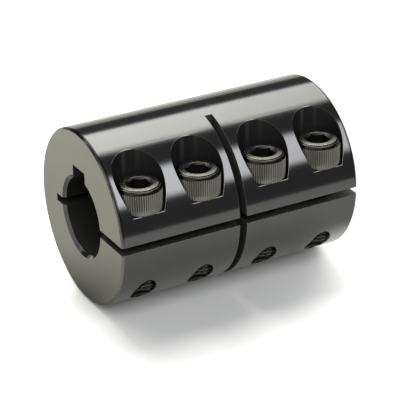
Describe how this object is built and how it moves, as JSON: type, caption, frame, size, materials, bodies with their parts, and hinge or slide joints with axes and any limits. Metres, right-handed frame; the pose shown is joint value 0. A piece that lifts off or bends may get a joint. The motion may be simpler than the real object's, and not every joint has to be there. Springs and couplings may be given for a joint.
{
  "type": "clamp shaft coupling",
  "caption": "One-piece rigid clamping shaft coupling with a keyed bore, slit along one wall, closed by socket head cap screws.",
  "frame": {"origin": "centre of the lower end face, on the bore axis", "axes": "+Z along the bore axis, from the end it stands on to the other; the clamping slit opens towards -X; the screw heads and the keyway face -Y"},
  "size_m": [0.034, 0.034, 0.05],
  "materials": {
    "body_steel": "polished outside and turned ends, black oxide",
    "screw_steel": "black oxide with an oiled surface, straight knurled heads"
  },
  "bodies": {
    "coupling_body": {"coupling_body": "body_steel"},
    "cap_screw_1": {"cap_screw_1": "screw_steel"},
    "cap_screw_2": {"cap_screw_2": "screw_steel"},
    "cap_screw_3": {"cap_screw_3": "screw_steel"},
    "cap_screw_4": {"cap_screw_4": "screw_steel"}
  },
  "joints": [
    {"name": "cap_screw_1_turn", "type": "hinge", "parent": "coupling_body", "child": "cap_screw_1", "pos_m": [-0.0124, -0.00565, 0.0061], "axis": [0, -1, 0], "range_deg": [0, 360]},
    {"name": "cap_screw_2_turn", "type": "hinge", "parent": "coupling_body", "child": "cap_screw_2", "pos_m": [-0.0124, -0.00565, 0.0181], "axis": [0, -1, 0], "range_deg": [0, 360]},
    {"name": "cap_screw_3_turn", "type": "hinge", "parent": "coupling_body", "child": "cap_screw_3", "pos_m": [-0.0124, -0.00565, 0.0319], "axis": [0, -1, 0], "range_deg": [0, 360]},
    {"name": "cap_screw_4_turn", "type": "hinge", "parent": "coupling_body", "child": "cap_screw_4", "pos_m": [-0.0124, -0.00565, 0.0439], "axis": [0, -1, 0], "range_deg": [0, 360]}
  ]
}
